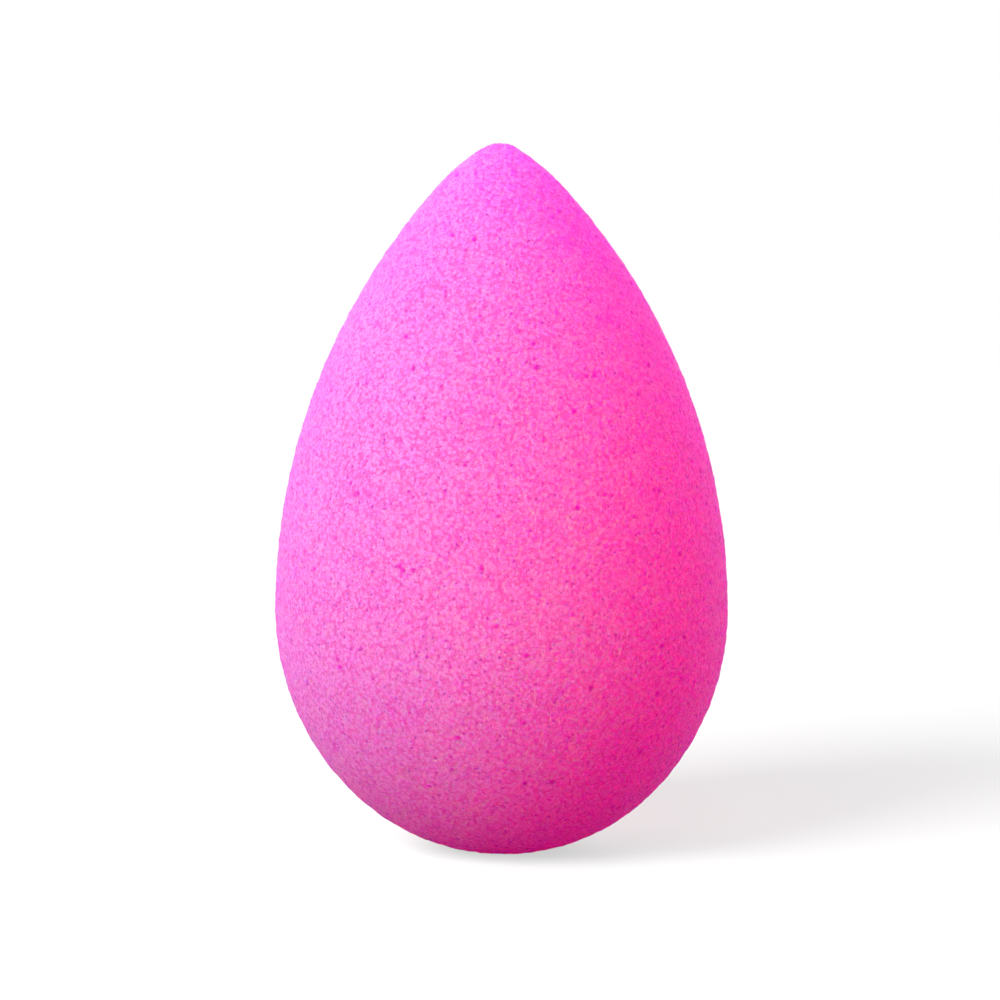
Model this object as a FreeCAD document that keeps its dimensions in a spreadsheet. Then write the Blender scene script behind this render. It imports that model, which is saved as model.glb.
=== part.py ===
import FreeCAD, Part
import os

import Sketcher
from FreeCAD import Vector

# A teardrop makeup sponge, moulded in one piece from soft foam. It stands on its round end with the
# point up. The origin is the middle of the flat foot, and +Z runs through the point.

# Driving sizes in millimetres, and the angle in degrees
SIZES = (
    ("height", 60.0, "foot to tip"),
    ("width", 38.4, "across the widest girth"),
    ("girth_height", 20.3, "widest girth above the foot"),
    ("tip_radius", 2.6, "round of the point"),
    ("neck_radius", 17.0, "bend between the point and the flank"),
    ("foot_depth", 0.5, "how deep the round end is cut flat"),
    ("base_angle", 45.0, "degrees turned by the round under the bowl"),
    ("tip_turn_share", 0.75, "share of the bend at the top that the round of the point turns"),
)

# First guess at where the arcs meet: the share of the half width, then of the height
BOWL_JOIN_SHARES = (0.65, 0.10)
NECK_JOIN_SHARES = (0.36, 0.92)
TIP_JOIN_SHARES = (0.08, 0.99)
# First guess at how far an arc stands off its chord, as a share of the chord
BULGE_SHARE = 0.08

# The sketcher numbers the places on an edge upwards, and its own axes downwards
START, END, CENTRE = range(1, 4)
HORIZONTAL_AXIS, VERTICAL_AXIS = range(-1, -3, -1)
ORIGIN = (HORIZONTAL_AXIS, START)

doc = FreeCAD.newDocument("makeup_sponge")
sheet = doc.addObject("Spreadsheet::Sheet", "sizes")
for row, (alias, value, meaning) in enumerate(SIZES, start=1):
    sheet.set(f"A{row}", alias)
    sheet.set(f"B{row}", str(value))
    sheet.set(f"C{row}", meaning)
    sheet.setAlias(f"B{row}", alias)
doc.recompute()
half_width = sheet.width / 2


def new_sketch(body, name, plane_role):
    """Adds a sketch to the body on the origin plane with this role."""
    sketch = body.newObject("Sketcher::SketchObject", name)
    planes = [item for item in body.Origin.OriginFeatures if item.Role == plane_role]
    sketch.AttachmentSupport = (planes[0], [""])
    sketch.MapMode = "FlatFace"
    return sketch


def bind(sketch, name, kind, places, expression):
    """Adds a named dimension between these places and ties it to the sheet."""
    first_guess = sheet.evalExpression(expression)
    index = sketch.addConstraint(Sketcher.Constraint(kind, *places, first_guess))
    sketch.renameConstraint(index, name)
    sketch.setExpression(f"Constraints.{name}", expression)


def rough_point(shares):
    """Gives the point at these shares of the half width and the height."""
    return Vector(half_width * shares[0], sheet.height * shares[1], 0)


def rough_arc(start, end):
    """Gives an arc that bulges to the right of the way from start to end."""
    chord = end - start
    outward = Vector(chord.y, -chord.x, 0)
    return Part.Arc(start, (start + end) / 2 + outward * BULGE_SHARE, end)


# Half of the outline, from the lowest point round the bowl and up the flank to the tip
sponge = doc.addObject("PartDesign::Body", "sponge")
sponge.Label = "sponge"
outline = new_sketch(sponge, "outline", "XZ_Plane")
keel = Vector(0, -sheet.foot_depth, 0)
bowl_join = rough_point(BOWL_JOIN_SHARES)
girth = Vector(half_width, sheet.girth_height, 0)
neck_join = rough_point(NECK_JOIN_SHARES)
tip_join = rough_point(TIP_JOIN_SHARES)
tip = Vector(0, sheet.height, 0)

axis_line = outline.addGeometry(Part.LineSegment(tip, keel))
base_arc = outline.addGeometry(rough_arc(keel, bowl_join))
shoulder_arc = outline.addGeometry(rough_arc(bowl_join, girth))
flank_arc = outline.addGeometry(rough_arc(girth, neck_join))
neck_arc = outline.addGeometry(rough_arc(neck_join, tip_join))
tip_arc = outline.addGeometry(rough_arc(tip_join, tip))

# The arcs run on smoothly from one to the next, and the axis closes them
arcs = (base_arc, shoulder_arc, flank_arc, neck_arc, tip_arc)
for lower, upper in zip(arcs, arcs[1:]):
    outline.addConstraint(Sketcher.Constraint("Tangent", lower, END, upper, START))
outline.addConstraint(Sketcher.Constraint("Coincident", axis_line, START, tip_arc, END))
outline.addConstraint(Sketcher.Constraint("Coincident", axis_line, END, base_arc, START))
for edge, place in (
    (axis_line, START),
    (axis_line, END),
    (base_arc, CENTRE),
    (tip_arc, CENTRE),
):
    outline.addConstraint(Sketcher.Constraint("PointOnObject", edge, place, VERTICAL_AXIS))

# The flank stands upright at the girth
outline.addConstraint(Sketcher.Constraint("Horizontal", shoulder_arc, CENTRE, shoulder_arc, END))

bind(outline, "height", "DistanceY", (*ORIGIN, tip_arc, END), "sizes.height")
bind(outline, "foot_depth", "DistanceY", (base_arc, START, *ORIGIN), "sizes.foot_depth")
bind(outline, "half_width", "DistanceX", (*ORIGIN, flank_arc, START), "sizes.width / 2")
bind(outline, "girth_height", "DistanceY", (*ORIGIN, flank_arc, START), "sizes.girth_height")
bind(outline, "tip_radius", "Radius", (tip_arc,), "sizes.tip_radius")
bind(outline, "neck_radius", "Radius", (neck_arc,), "sizes.neck_radius")
bind(outline, "base_angle", "Angle", (base_arc,), "sizes.base_angle * 1 deg")

# The bend at the top is what a single flank arc, run straight into the point's round, would leave to turn
half = "(sizes.width / 2)"
rise = "(sizes.height - sizes.tip_radius - sizes.girth_height)"
flank_radius = f"({half}^2 + {rise}^2 - sizes.tip_radius^2) / (2 * ({half} - sizes.tip_radius))"
top_bend = f"(90 deg - atan2({rise}; {flank_radius} - {half}))"
bind(outline, "tip_turn", "Angle", (tip_arc,), f"sizes.tip_turn_share * {top_bend}")

# The foam body is the outline turned about its axis
foam = sponge.newObject("PartDesign::Revolution", "foam")
foam.Profile = outline
foam.ReferenceAxis = (outline, ["V_Axis"])
doc.recompute()

# The round end is cut flat where the sponge stands, so that it stays upright
foot_outline = new_sketch(sponge, "foot_outline", "XY_Plane")
foot_circle = foot_outline.addGeometry(Part.Circle(Vector(), Vector(0, 0, 1), half_width))
foot_outline.addConstraint(Sketcher.Constraint("Coincident", foot_circle, CENTRE, *ORIGIN))
bind(foot_outline, "radius", "Radius", (foot_circle,), "sizes.width / 2")
foot = sponge.newObject("PartDesign::Pocket", "foot")
foot.Profile = foot_outline
foot.Type = "ThroughAll"
foot.Reversed = False
doc.recompute()

# Nothing is written unless every object is sound and the foot really is cut
for item in doc.Objects:
    if {"Invalid", "Error"} & set(item.State):
        raise RuntimeError(f"{item.Label} did not recompute: {item.State}")
if sponge.Shape.isNull() or not sponge.Shape.isValid():
    raise RuntimeError(f"{sponge.Label} has no valid shape")
if foot.Shape.Volume >= foam.Shape.Volume:
    raise RuntimeError("the foot cuts nothing away")

os.makedirs("parts", exist_ok=True)
sponge.Shape.exportStep(f"parts/{sponge.Label}.step")
print(f"{sponge.Label}: {sponge.Shape.Volume:.1f} cubic millimetres, {sponge.Shape.BoundBox}")
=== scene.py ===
"""Looks of the teardrop makeup sponge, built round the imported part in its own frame, in metres."""

import logging
import math
from dataclasses import dataclass, field
from enum import Enum
from typing import Any

import bpy
import numpy as np
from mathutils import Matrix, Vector, kdtree, noise


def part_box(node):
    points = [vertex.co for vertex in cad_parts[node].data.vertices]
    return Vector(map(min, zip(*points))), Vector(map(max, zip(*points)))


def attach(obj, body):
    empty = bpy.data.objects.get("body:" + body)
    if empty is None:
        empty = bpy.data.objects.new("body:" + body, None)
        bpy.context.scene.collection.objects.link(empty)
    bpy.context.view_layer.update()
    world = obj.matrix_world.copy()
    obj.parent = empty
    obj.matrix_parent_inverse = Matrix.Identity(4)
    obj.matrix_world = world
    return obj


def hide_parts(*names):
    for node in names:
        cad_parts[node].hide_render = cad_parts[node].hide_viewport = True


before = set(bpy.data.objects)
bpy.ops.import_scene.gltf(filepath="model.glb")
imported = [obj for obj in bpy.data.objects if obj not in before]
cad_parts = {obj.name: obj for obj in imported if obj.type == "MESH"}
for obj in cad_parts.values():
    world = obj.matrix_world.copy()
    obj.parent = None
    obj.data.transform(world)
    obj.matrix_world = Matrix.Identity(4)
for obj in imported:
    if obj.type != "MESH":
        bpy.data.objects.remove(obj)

LOG = logging.getLogger("makeup_sponge")
MM = 0.001
PORE_ATTRIBUTE = "pore"
# Places of the colours among the Mix node's sockets, which share their names
MIX_FROM, MIX_TO, MIX_RESULT = 6, 7, 2


def linear(hex_colour: str) -> tuple[float, float, float, float]:
    """Turns an sRGB hex colour into linear values.

    Args:
        hex_colour: Six hex digits after a hash sign.

    Returns:
        Red, green, blue and an alpha of one.
    """
    encoded = [int(hex_colour[i : i + 2], 16) / 255 for i in (1, 3, 5)]
    red, green, blue = (c / 12.92 if c <= 0.04045 else ((c + 0.055) / 1.055) ** 2.4 for c in encoded)
    return red, green, blue, 1.0


def add_node(
    tree: bpy.types.NodeTree,
    kind: str,
    settings: dict[str | int, Any] | None = None,
    links: dict[str | int, bpy.types.NodeSocket] | None = None,
) -> bpy.types.Node:
    """Adds a node, with its settings and what feeds its inputs.

    Args:
        tree: The node tree that gets the node.
        kind: The node's type name.
        settings: Values by attribute name, or by the name or number of an input.
        links: Output sockets by the name or number of the input that they feed.

    Returns:
        The new node.
    """
    node = tree.nodes.new(kind)
    for name, value in (settings or {}).items():
        if isinstance(name, str) and hasattr(node, name):
            setattr(node, name, value)
        else:
            node.inputs[name].default_value = value
    for name, socket in (links or {}).items():
        tree.links.new(socket, node.inputs[name])
    return node


class PoreSize(Enum):
    """Open cells that show as dents: least and greatest radius in metres, and number in a square metre."""

    BROKEN_BUBBLE = (0.20 * MM, 0.34 * MM, 0.04 / MM**2)
    OPEN_CELL = (0.11 * MM, 0.18 * MM, 0.30 / MM**2)

    @property
    def radii(self) -> tuple[float, float]:
        """Least and greatest radius in metres."""
        return self.value[0], self.value[1]

    @property
    def density(self) -> float:
        """How many in a square metre."""
        return self.value[2]


@dataclass(frozen=True)
class Arc:
    """One arc of the outline, in the plane of radius and height, in metres and radians."""

    centre_r: float
    centre_z: float
    radius: float
    start: float
    end: float

    def points(self, count: int) -> tuple[np.ndarray, np.ndarray]:
        """Samples the arc.

        Args:
            count: How many points.

        Returns:
            The points and their outward normals, each as rows of radius and height.
        """
        turn = np.linspace(self.start, self.end, count)
        normals = np.column_stack([np.cos(turn), np.sin(turn)])
        return np.array([self.centre_r, self.centre_z]) + self.radius * normals, normals


@dataclass(frozen=True)
class Outline:
    """Half of the teardrop's outline, from the foot's rim to the tip, in metres and radians."""

    height: float
    width: float
    girth_height: float = 20.3 * MM
    tip_radius: float = 2.6 * MM
    neck_radius: float = 17.0 * MM
    foot_depth: float = 0.5 * MM
    base_angle: float = math.radians(45)
    tip_turn_share: float = 0.75

    def arcs(self) -> list[Arc]:
        """Works out the arcs, which run on smoothly from one to the next.

        Returns:
            The base, shoulder, flank, neck and tip arcs.
        """
        half, depth = self.width / 2, self.girth_height + self.foot_depth
        join = math.pi / 2 - self.base_angle
        cos, sin = math.cos(join), math.sin(join)
        shoulder, base = np.linalg.solve([[1 - cos, cos], [sin, 1 - sin]], [half, depth])
        base_z = base - self.foot_depth
        # The tip's round turns a share of the bend that a single flank arc would leave at the top
        rise = self.height - self.tip_radius - self.girth_height
        plain_flank = (half**2 + rise**2 - self.tip_radius**2) / (2 * (half - self.tip_radius))
        top_bend = math.pi / 2 - math.atan2(rise, plain_flank - half)
        tip_start = math.pi / 2 - self.tip_turn_share * top_bend
        reach = self.neck_radius - self.tip_radius
        neck_r = -reach * math.cos(tip_start)
        neck_z = self.height - self.tip_radius - reach * math.sin(tip_start)
        over, up = half - neck_r, neck_z - self.girth_height
        flank = (over**2 + up**2 - self.neck_radius**2) / (2 * (over - self.neck_radius))
        flank_end = math.atan2(up, neck_r - half + flank)
        return [
            Arc(0, base_z, base, -math.asin(base_z / base), -join),
            Arc(half - shoulder, self.girth_height, shoulder, -join, 0),
            Arc(half - flank, self.girth_height, flank, 0, flank_end),
            Arc(neck_r, neck_z, self.neck_radius, flank_end, tip_start),
            Arc(0, self.height - self.tip_radius, self.tip_radius, tip_start, math.pi / 2),
        ]


class Skin:
    """The smooth surface that the outline sweeps, addressed by share of its area and by longitude."""

    def __init__(self, outline: Outline, samples: int = 4000) -> None:
        """Samples the foot and the arcs, and adds up the area that they sweep.

        Args:
            outline: The outline to sweep.
            samples: Points on the foot and on each arc.
        """
        sampled = [arc.points(samples) for arc in outline.arcs()]
        rim = sampled[0][0][0, 0]
        foot = np.column_stack([np.linspace(0, rim, samples), np.zeros(samples)])
        self.points = np.concatenate([foot, *(points for points, _ in sampled)])
        down = np.tile([0.0, -1.0], (samples, 1))
        self.normals = np.concatenate([down, *(normals for _, normals in sampled)])
        steps = np.linalg.norm(np.diff(self.points, axis=0), axis=1)
        bands = math.pi * (self.points[1:, 0] + self.points[:-1, 0]) * steps
        swept = np.concatenate([[0.0], np.cumsum(bands)])
        self.area = float(swept[-1])
        self.shares = swept / self.area

    def at(self, share: np.ndarray, longitude: np.ndarray) -> tuple[np.ndarray, np.ndarray]:
        """Finds places on the surface.

        Args:
            share: Share of the area that lies below each place.
            longitude: Angle round the axis, in radians.

        Returns:
            The points and their outward normals.
        """
        radius, height = (np.interp(share, self.shares, self.points[:, i]) for i in (0, 1))
        out, up = (np.interp(share, self.shares, self.normals[:, i]) for i in (0, 1))
        cos, sin = np.cos(longitude), np.sin(longitude)
        points = np.column_stack([radius * cos, radius * sin, height])
        return points, np.column_stack([out * cos, out * sin, up])


@dataclass(frozen=True)
class CubeGrid:
    """A cube's six sides in even squares, which give the skin its mesh and its six texture charts."""

    squares: int
    chart_margin: float = 0.006

    def sides(self) -> list[np.ndarray]:
        """Gives the lattice points of each side.

        Returns:
            For each side, whole-number places on the cube by column and row, ordered to face outwards.
        """
        steps = np.arange(self.squares + 1)
        column, row = np.meshgrid(steps, steps, indexing="ij")
        low, high = np.zeros_like(row), np.full_like(row, self.squares)
        faces = [(high, column, row), (low, row, column), (row, high, column)]
        faces += [(column, low, row), (column, row, high), (row, column, low)]
        return [np.stack(face, axis=-1) for face in faces]

    def build(self) -> tuple[np.ndarray, np.ndarray, np.ndarray]:
        """Joins the six sides at their edges.

        Returns:
            Unit directions of the points, the corners of each square, and a chart place for each corner.
        """
        side = self.squares + 1
        lattice = np.concatenate([places.reshape(-1, 3) for places in self.sides()])
        keys = (lattice[:, 0] * side + lattice[:, 1]) * side + lattice[:, 2]
        _, first, joined = np.unique(keys, return_index=True, return_inverse=True)
        # Even angles from the cube's middle keep the squares nearly alike
        spread = np.tan((2 * lattice[first] / self.squares - 1) * math.pi / 4)
        directions = spread / np.linalg.norm(spread, axis=1, keepdims=True)

        ids = np.arange(len(lattice)).reshape(6, side, side)
        corners = np.stack([ids[:, :-1, :-1], ids[:, 1:, :-1], ids[:, 1:, 1:], ids[:, :-1, 1:]], axis=-1)
        corners = corners.reshape(-1, 4)
        chart, place = np.divmod(corners, side * side)
        across, along = np.divmod(place, side)
        inner = 1 - 2 * self.chart_margin
        u = (chart % 3 + self.chart_margin + inner * across / self.squares) / 3
        v = (chart // 3 + self.chart_margin + inner * along / self.squares) / 2
        return directions, joined.reshape(-1)[corners], np.stack([u, v], axis=-1)


@dataclass(frozen=True)
class FoamFinish:
    """Hot-pink open-cell polyurethane foam, dyed through and shaped without a skin.

    Cut cell walls show as pale granules, matte, with a faint pale veil where light grazes them. The gaps
    between granules, the valleys between pebbles and the open cells are painted in darker, deeper pinks as
    painted shade in the hollows. Light wanders in the foam, red farthest, so that shaded sides stay a vivid
    pink. Widths, radii and reaches are in metres.
    """

    name: str = "polyurethane_foam_hot_pink"
    wall_colour: str = "#FD86B2"
    # Uneven dye and painted shade: random mottling leans to this colour, and the gaps between granules are
    # darkened to it
    dye_and_gap_shade_colour: str = "#F62E82"
    # Painted shade: the valleys between pebbles are darkened to this colour
    painted_valley_shade: str = "#E41062"
    # Painted shade: the small open cells are darkened to this purple pink
    painted_speck_shade: str = "#B42078"
    # Painted shade: the dented large cells are darkened to this deep pink
    painted_pore_shade: str = "#CC086C"
    ior: float = 1.5
    specular_level: float = 0.05
    roughness: float = 0.85
    sheen: float = 0.03
    sheen_roughness: float = 0.45
    sheen_colour: str = "#FFFFFF"
    # Thin walls pass red on and soak up green. The shader shortens the reach of a colour that is hardly
    # soaked up, so that red is written in metres to wander through the whole sponge
    scatter_share: float = 0.95
    scatter_reach: tuple[float, float, float] = (12.0, 0.08 * MM, 22 * MM)
    granule_width: float = 0.22 * MM
    granule_edge: tuple[float, float] = (0.25, 0.70)
    pebble_width: float = 0.34 * MM
    pebble_edge: tuple[float, float] = (0.35, 0.75)
    pebble_softness: float = 0.4
    valley_share: float = 0.5
    speck_spacing: float = 0.50 * MM
    speck_radius: float = 0.22 * MM
    speck_core: float = 0.3
    mottle_width: float = 0.13 * MM
    mottle_share: float = 1.9
    mottle_offset: float = -1.0
    drift_share: float = 0.3
    gap_share: float = 0.35
    gap_relief: float = 0.5
    ragged_width: float = 0.28 * MM
    ragged_reach: float = 0.20 * MM
    drift_width: float = 9.0 * MM
    relief: float = 0.15 * MM

    def make(self) -> bpy.types.Material:
        """Makes the material.

        Returns:
            The foam material.
        """
        material = bpy.data.materials.new(self.name)
        material.use_nodes = True
        tree = material.node_tree
        tree.nodes.clear()
        place = {"Vector": add_node(tree, "ShaderNodeTexCoord").outputs["Object"]}
        smooth = {"interpolation_type": "SMOOTHSTEP"}

        # Nothing in foam is quite round, so that the cells are laid out on places pulled about by a noise
        pull = add_node(tree, "ShaderNodeTexNoise", {"Scale": 1 / self.ragged_width, "Detail": 1.0}, place)
        ragged = {
            "Vector": add_node(
                tree, "ShaderNodeVectorMath", {"operation": "MULTIPLY_ADD", 1: (self.ragged_reach,) * 3},
                {0: pull.outputs["Color"], 2: place["Vector"]},
            ).outputs["Vector"]
        }

        # Cut cell walls stand up as granules, and groups of them as pebbles
        granules = add_node(tree, "ShaderNodeTexVoronoi", {"Scale": 1 / self.granule_width}, ragged)
        inner, outer = self.granule_edge
        gap = add_node(
            tree, "ShaderNodeMapRange", smooth | {"From Min": inner, "From Max": outer},
            {"Value": granules.outputs["Distance"]},
        ).outputs["Result"]
        soft = {"feature": "SMOOTH_F1", "Smoothness": self.pebble_softness}
        pebbles = add_node(tree, "ShaderNodeTexVoronoi", soft | {"Scale": 1 / self.pebble_width}, ragged)
        inner, outer = self.pebble_edge
        valley = add_node(
            tree, "ShaderNodeMapRange",
            smooth | {"From Min": inner, "From Max": outer, "To Max": self.valley_share},
            {"Value": pebbles.outputs["Distance"]},
        ).outputs["Result"]

        # Small open cells are specks of all sizes up to the greatest, and large ones are dents of the mesh
        specks = add_node(tree, "ShaderNodeTexVoronoi", {"Scale": 1 / self.speck_spacing}, ragged)
        dice = add_node(tree, "ShaderNodeSeparateColor", links={"Color": specks.outputs["Color"]}).outputs
        distance = add_node(
            tree, "ShaderNodeMath", {"operation": "DIVIDE"},
            {0: specks.outputs["Distance"], 1: dice["Red"]},
        )
        reach = self.speck_radius / self.speck_spacing
        speck = add_node(
            tree, "ShaderNodeMapRange",
            smooth | {"From Min": reach, "From Max": self.speck_core * reach},
            {"Value": distance.outputs["Value"], "To Max": dice["Green"]},
        ).outputs["Result"]
        dent = add_node(tree, "ShaderNodeAttribute", {"attribute_name": PORE_ATTRIBUTE}).outputs["Fac"]

        # Dye takes unevenly: fine mottling, and a slow drift over the whole sponge. The gaps between
        # granules are added as painted shade, pulling the colour towards the darker gap colour.
        mottle = add_node(
            tree, "ShaderNodeTexNoise",
            {"Scale": 1 / self.mottle_width, "Detail": 2.0, "Roughness": 0.7}, place,
        )
        drift = add_node(tree, "ShaderNodeTexNoise", {"Scale": 1 / self.drift_width, "Detail": 1.0}, place)
        tone = add_node(
            tree, "ShaderNodeMath",
            {"operation": "MULTIPLY_ADD", 1: self.mottle_share, 2: self.mottle_offset},
            {0: mottle.outputs["Fac"]},
        )
        for share, source in ((self.drift_share, drift.outputs["Fac"]), (self.gap_share, gap)):
            tone = add_node(
                tree, "ShaderNodeMath",
                {"operation": "MULTIPLY_ADD", 1: share, "use_clamp": source is gap},
                {0: source, 2: tone.outputs["Value"]},
            )
        colour = add_node(
            tree, "ShaderNodeMix",
            {"data_type": "RGBA", MIX_FROM: linear(self.wall_colour), MIX_TO: linear(self.dye_and_gap_shade_colour)},
            {0: tone.outputs["Value"]},
        )
        # Painted shade: valleys, small open cells and dented large cells are darkened to deeper pinks
        painted_shades = {self.painted_valley_shade: valley, self.painted_speck_shade: speck, self.painted_pore_shade: dent}
        for shade, amount in painted_shades.items():
            colour = add_node(
                tree, "ShaderNodeMix", {"data_type": "RGBA", MIX_TO: linear(shade)},
                {0: amount, MIX_FROM: colour.outputs[MIX_RESULT]},
            )

        # Valleys and specks lie deepest, and the gaps between granules less deep
        depth = add_node(
            tree, "ShaderNodeMath", {"operation": "MULTIPLY_ADD", 1: self.gap_relief}, {0: gap, 2: valley}
        )
        depth = add_node(
            tree, "ShaderNodeMath", {"operation": "ADD"}, {0: depth.outputs["Value"], 1: speck}
        )
        bump = add_node(
            tree, "ShaderNodeBump", {"invert": True, "Strength": 1.0, "Distance": self.relief},
            {"Height": depth.outputs["Value"]},
        )
        shader = add_node(
            tree, "ShaderNodeBsdfPrincipled",
            {
                "subsurface_method": "RANDOM_WALK_SKIN",
                "Roughness": self.roughness,
                "IOR": self.ior,
                "Specular IOR Level": self.specular_level,
                "Sheen Weight": self.sheen,
                "Sheen Roughness": self.sheen_roughness,
                "Sheen Tint": linear(self.sheen_colour),
                "Subsurface Weight": self.scatter_share,
                "Subsurface Radius": self.scatter_reach,
                "Subsurface Scale": 1.0,
            },
            {"Base Color": colour.outputs[MIX_RESULT], "Normal": bump.outputs["Normal"]},
        )
        add_node(tree, "ShaderNodeOutputMaterial", links={"Surface": shader.outputs["BSDF"]})
        return material


@dataclass
class Sponge:
    """The one piece of foam: a closed mesh with its open cells dented in."""

    node: str = "sponge"
    body: str = "root"
    slot: str = "foam"
    squares: int = 288
    seed: int = 7
    lean: float = 0.2 * MM
    pebble_width: float = 0.9 * MM
    pebble_height: float = 0.07 * MM
    dent_depth: float = 0.8
    finish: FoamFinish = field(default_factory=FoamFinish)

    def build(self) -> bpy.types.Object:
        """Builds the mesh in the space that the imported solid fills.

        Returns:
            The sponge, which takes the solid's place.
        """
        low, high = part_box(self.node)
        skin = Skin(Outline(height=high.z - low.z, width=high.x - low.x))
        directions, squares, charts = CubeGrid(self.squares).build()
        longitude = np.arctan2(directions[:, 1], directions[:, 0])
        points, normals = skin.at((directions[:, 2] + 1) / 2, longitude)
        dents, pores = self.dents(skin, points)
        points += normals * (self.pebbles(points) - dents)[:, None]
        # It leans a little, most at the two ends
        points[:, 0] += self.lean * (1 - 2 * points[:, 2] / high.z) ** 3
        points[:, 2] = np.maximum(points[:, 2], 0)

        mesh = bpy.data.meshes.new(self.node + "_foam")
        mesh.from_pydata(points, [], squares)
        mesh.uv_layers.new(name="OFBake").uv.foreach_set("vector", charts.ravel())
        mesh.attributes.new(PORE_ATTRIBUTE, "FLOAT", "POINT").data.foreach_set("value", pores)
        mesh.shade_smooth()
        sponge = bpy.data.objects.new(self.node + "_foam", mesh)
        bpy.context.collection.objects.link(sponge)
        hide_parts(self.node)
        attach(sponge, self.body)
        return sponge

    def pebbles(self, points: np.ndarray) -> np.ndarray:
        """Gives the grain of the foam, in two sizes.

        Args:
            points: Places on the skin.

        Returns:
            How far each place stands up.
        """
        grain = np.zeros(len(points))
        for share in (1.0, 0.5):
            scaled = points / (self.pebble_width * share)
            grain += share * np.array([noise.noise(Vector(place)) for place in scaled])
        return self.pebble_height * grain

    def dents(self, skin: Skin, points: np.ndarray) -> tuple[np.ndarray, np.ndarray]:
        """Scatters the open cells.

        Args:
            skin: The smooth surface.
            points: Places on it.

        Returns:
            How deep each place lies in a cell, in metres and as a share of the cell's depth.
        """
        tree = kdtree.KDTree(len(points))
        for index, place in enumerate(points):
            tree.insert(place, index)
        tree.balance()
        dice = np.random.default_rng(self.seed)
        dents, pores = np.zeros(len(points)), np.zeros(len(points))
        for size in PoreSize:
            count = round(size.density * skin.area)
            centres, _ = skin.at(dice.random(count), dice.uniform(-math.pi, math.pi, count))
            radii = dice.uniform(*size.radii, count)
            for centre, radius in zip(centres, radii):
                for _, index, distance in tree.find_range(centre, radius):
                    share = 1 - (distance / radius) ** 2
                    dents[index] = max(dents[index], self.dent_depth * radius * share**2)
                    pores[index] = max(pores[index], share)
        return dents, pores

    def dress(self, sponge: bpy.types.Object) -> None:
        """Gives the sponge its foam."""
        sponge.data.materials.append(self.finish.make())


@dataclass(frozen=True)
class SoftBox:
    """A square lamp with a cloth front, aimed at the sponge. Level 1 lights paper that faces it to white."""

    name: str
    azimuth: float
    elevation: float
    distance: float
    width: float
    level: float

    def build(self, aim: Vector) -> bpy.types.Object:
        """Hangs the lamp.

        Args:
            aim: What it points at.

        Returns:
            The lamp.
        """
        round_, up = math.radians(self.azimuth), math.radians(self.elevation)
        away = Vector((math.sin(round_) * math.cos(up), -math.cos(round_) * math.cos(up), math.sin(up)))
        light = bpy.data.lights.new(self.name, "AREA")
        light.shape = "SQUARE"
        light.size = self.width
        light.energy = self.level * (math.pi * self.distance) ** 2
        lamp = bpy.data.objects.new(self.name, light)
        lamp.location = aim + away * self.distance
        lamp.rotation_euler = away.to_track_quat("Z", "Y").to_euler()
        bpy.context.collection.objects.link(lamp)
        return lamp


def seen_directly(tree: bpy.types.NodeTree) -> bpy.types.NodeSocket:
    """Tells the rays that show the backdrop from those that light things.

    Args:
        tree: The node tree that asks.

    Returns:
        One for rays from the camera, mirrored or not, and through glass.
    """
    path = add_node(tree, "ShaderNodeLightPath").outputs
    seen = path["Is Camera Ray"]
    for other in ("Is Glossy Ray", "Is Transmission Ray"):
        either = add_node(tree, "ShaderNodeMath", {"operation": "MAXIMUM"}, {0: seen, 1: path[other]})
        seen = either.outputs[0]
    return seen


@dataclass(frozen=True)
class PaperFinish:
    """Matte white backdrop paper, which keeps the sponge's soft shadow and fades to white farther off."""

    name: str = "backdrop_paper_white"
    colour: str = "#F4F4F4"
    bounce_colour: str = "#505050"
    glow_near: float = 0.6
    fade_from: float = 50 * MM
    fade_to: float = 250 * MM

    def make(self) -> bpy.types.Material:
        """Makes the material.

        Returns:
            The paper material.
        """
        material = bpy.data.materials.new(self.name)
        material.use_nodes = True
        tree = material.node_tree
        tree.nodes.clear()
        place = add_node(tree, "ShaderNodeTexCoord").outputs["Object"]
        far = add_node(tree, "ShaderNodeVectorMath", {"operation": "LENGTH"}, {0: place})
        glow = add_node(
            tree, "ShaderNodeMapRange",
            {
                "interpolation_type": "SMOOTHSTEP",
                "From Min": self.fade_from, "From Max": self.fade_to,
                "To Min": self.glow_near, "To Max": 1.0,
            },
            {"Value": far.outputs["Value"]},
        )
        paper = add_node(tree, "ShaderNodeBsdfDiffuse", {"Color": linear(self.colour)})
        white = add_node(tree, "ShaderNodeEmission")
        shown = add_node(
            tree, "ShaderNodeMixShader",
            links={0: glow.outputs["Result"], 1: paper.outputs[0], 2: white.outputs[0]},
        )
        # It throws less light back up than it shows, as the sponge's underside is dark
        bounce = add_node(tree, "ShaderNodeBsdfDiffuse", {"Color": linear(self.bounce_colour)})
        mix = add_node(
            tree, "ShaderNodeMixShader",
            links={0: seen_directly(tree), 1: bounce.outputs[0], 2: shown.outputs[0]},
        )
        add_node(tree, "ShaderNodeOutputMaterial", links={"Surface": mix.outputs[0]})
        return material


@dataclass(frozen=True)
class PhotoCamera:
    """The camera, which stands a little above the sponge and looks level with its middle."""

    distance: float = 500 * MM
    elevation: float = 8.0
    lens: float = 212.3
    aim: tuple[float, float, float] = (-0.13 * MM, 0.0, 29.7 * MM)

    def build(self) -> bpy.types.Object:
        """Sets up the camera.

        Returns:
            The camera.
        """
        up = math.radians(self.elevation)
        away = Vector((0, -math.cos(up), math.sin(up)))
        data = bpy.data.cameras.new("photo_camera")
        data.lens = self.lens
        data.clip_start, data.clip_end = 0.01, 20.0
        camera = bpy.data.objects.new("photo_camera", data)
        camera.location = Vector(self.aim) + away * self.distance
        camera.rotation_euler = away.to_track_quat("Z", "Y").to_euler()
        bpy.context.collection.objects.link(camera)
        bpy.context.scene.camera = camera
        return camera


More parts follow.
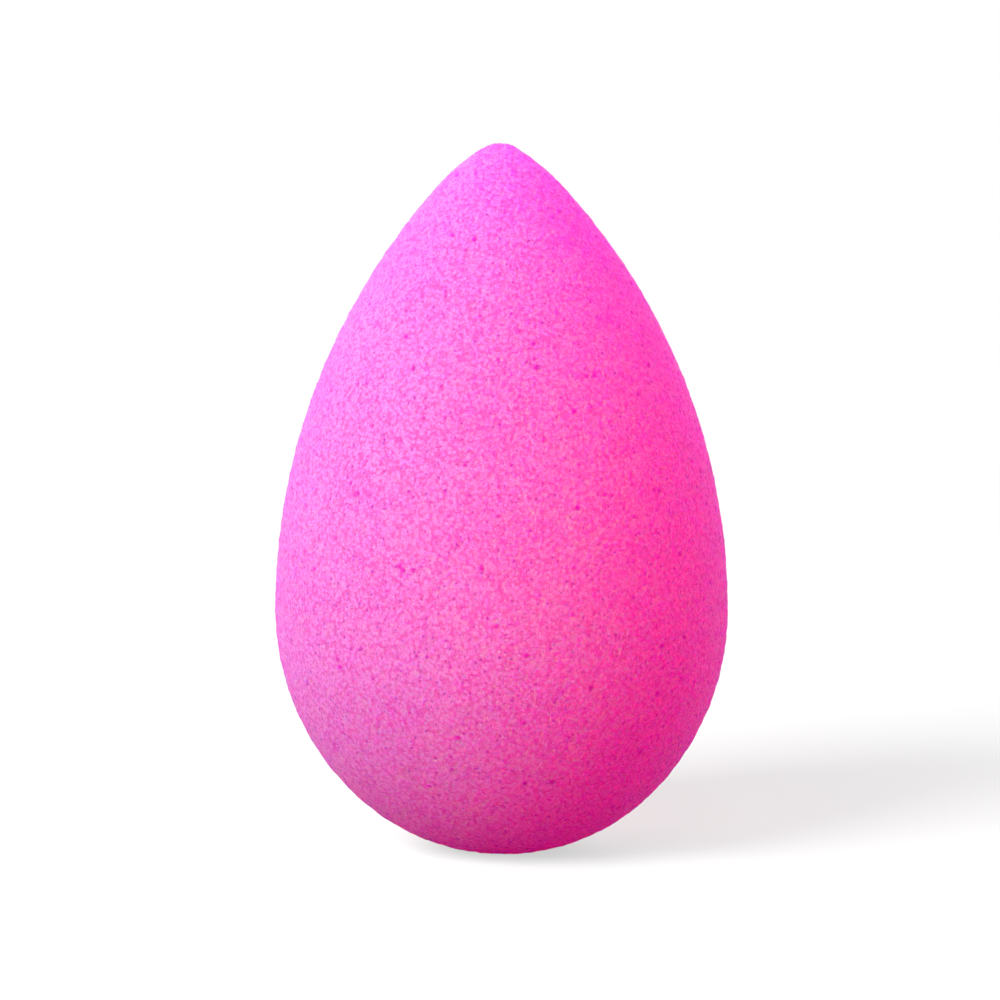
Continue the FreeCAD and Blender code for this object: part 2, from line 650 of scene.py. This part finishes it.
@dataclass
class Studio:
    """Backdrop, soft light and camera."""

    ambient: float = 0.02
    floor_width: float = 8.0
    aim: Vector = field(default_factory=lambda: Vector((0, 0, 30 * MM)))
    paper: PaperFinish = field(default_factory=PaperFinish)
    camera: PhotoCamera = field(default_factory=PhotoCamera)
    lamps: tuple[SoftBox, ...] = (
        SoftBox("key_softbox", -48, 30, 0.7, 0.4, 1.95),
        SoftBox("top_softbox", -10, 35, 0.7, 0.4, 0.25),
        SoftBox("back_left_softbox", -125, 8, 0.7, 0.4, 0.45),
        SoftBox("back_softbox", 180, 6, 0.7, 0.4, 1.45),
        SoftBox("back_right_softbox", 130, 8, 0.7, 0.4, 0.65),
    )

    def build(self) -> None:
        """Sets up the floor, the world's light, the lamps and the camera."""
        half = self.floor_width / 2
        mesh = bpy.data.meshes.new("backdrop")
        corners = [(-half, -half, 0), (half, -half, 0), (half, half, 0), (-half, half, 0)]
        mesh.from_pydata(corners, [], [(0, 1, 2, 3)])
        mesh.materials.append(self.paper.make())
        floor = bpy.data.objects.new("backdrop", mesh)
        bpy.context.collection.objects.link(floor)
        self.light_world()
        for lamp in self.lamps:
            lamp.build(self.aim)
        self.camera.build()
        bpy.context.scene.view_settings.view_transform = "Standard"

    def light_world(self) -> None:
        """Makes the world white where it is seen, and a weak even light elsewhere."""
        world = bpy.data.worlds.new("studio")
        world.use_nodes = True
        tree = world.node_tree
        tree.nodes.clear()
        plain = {"Color": linear("#FFFFFF")}
        light = add_node(tree, "ShaderNodeBackground", plain | {"Strength": self.ambient})
        white = add_node(tree, "ShaderNodeBackground", plain | {"Strength": 1.0})
        mix = add_node(
            tree, "ShaderNodeMixShader",
            links={0: seen_directly(tree), 1: light.outputs[0], 2: white.outputs[0]},
        )
        add_node(tree, "ShaderNodeOutputWorld", links={"Surface": mix.outputs[0]})
        bpy.context.scene.world = world


def main() -> None:
    """Builds the sponge and the studio, and keeps a note of the sizes."""
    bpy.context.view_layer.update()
    sponge = Sponge()
    piece = sponge.build()
    sponge.dress(piece)
    LOG.info("%s: %d points, %s", piece.name, len(piece.data.vertices), sponge.finish.name)
    studio = Studio()
    studio.build()
    LOG.info("studio: %d lamps", len(studio.lamps))


if __name__ == "__main__":
    logging.basicConfig(level=logging.INFO, format="%(message)s")
    main()
